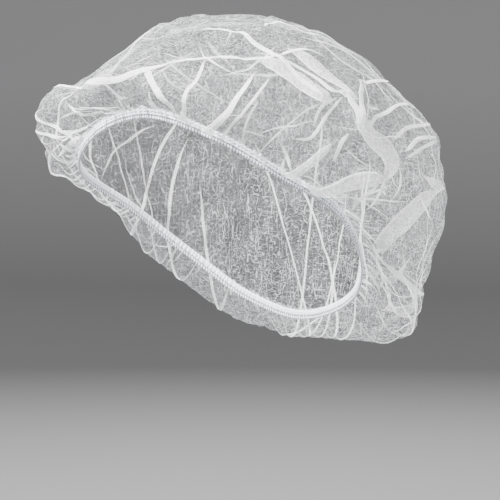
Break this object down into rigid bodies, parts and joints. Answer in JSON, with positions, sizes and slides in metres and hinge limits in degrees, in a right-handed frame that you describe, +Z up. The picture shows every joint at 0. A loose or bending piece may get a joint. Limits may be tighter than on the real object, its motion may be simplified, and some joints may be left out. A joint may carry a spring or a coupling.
{
  "type": "disposable bouffant cap",
  "caption": "Disposable bouffant cap: a puffed crown of thin white nonwoven cloth gathered into a narrow hem with an elastic cord round the head opening.",
  "frame": {"origin": "the middle of the head opening, on the level of the elastic halfway between the brow and the nape", "axes": "+Z up through the crown as worn, -Y the way the wearer faces, +X to the wearer's left"},
  "size_m": [0.2441, 0.2463, 0.2148],
  "materials": {
    "nonwoven_white": "thin translucent spunbond nonwoven, matt, white",
    "hem_white": "doubled and ruched nonwoven, matt, bluish white",
    "elastic_white": "fibre-covered ribbed elastic, matt, bluish white"
  },
  "bodies": {
    "root": {"cap_cloth": "nonwoven_white", "hem_band": "hem_white", "elastic_cord": "elastic_white"}
  },
  "joints": []
}
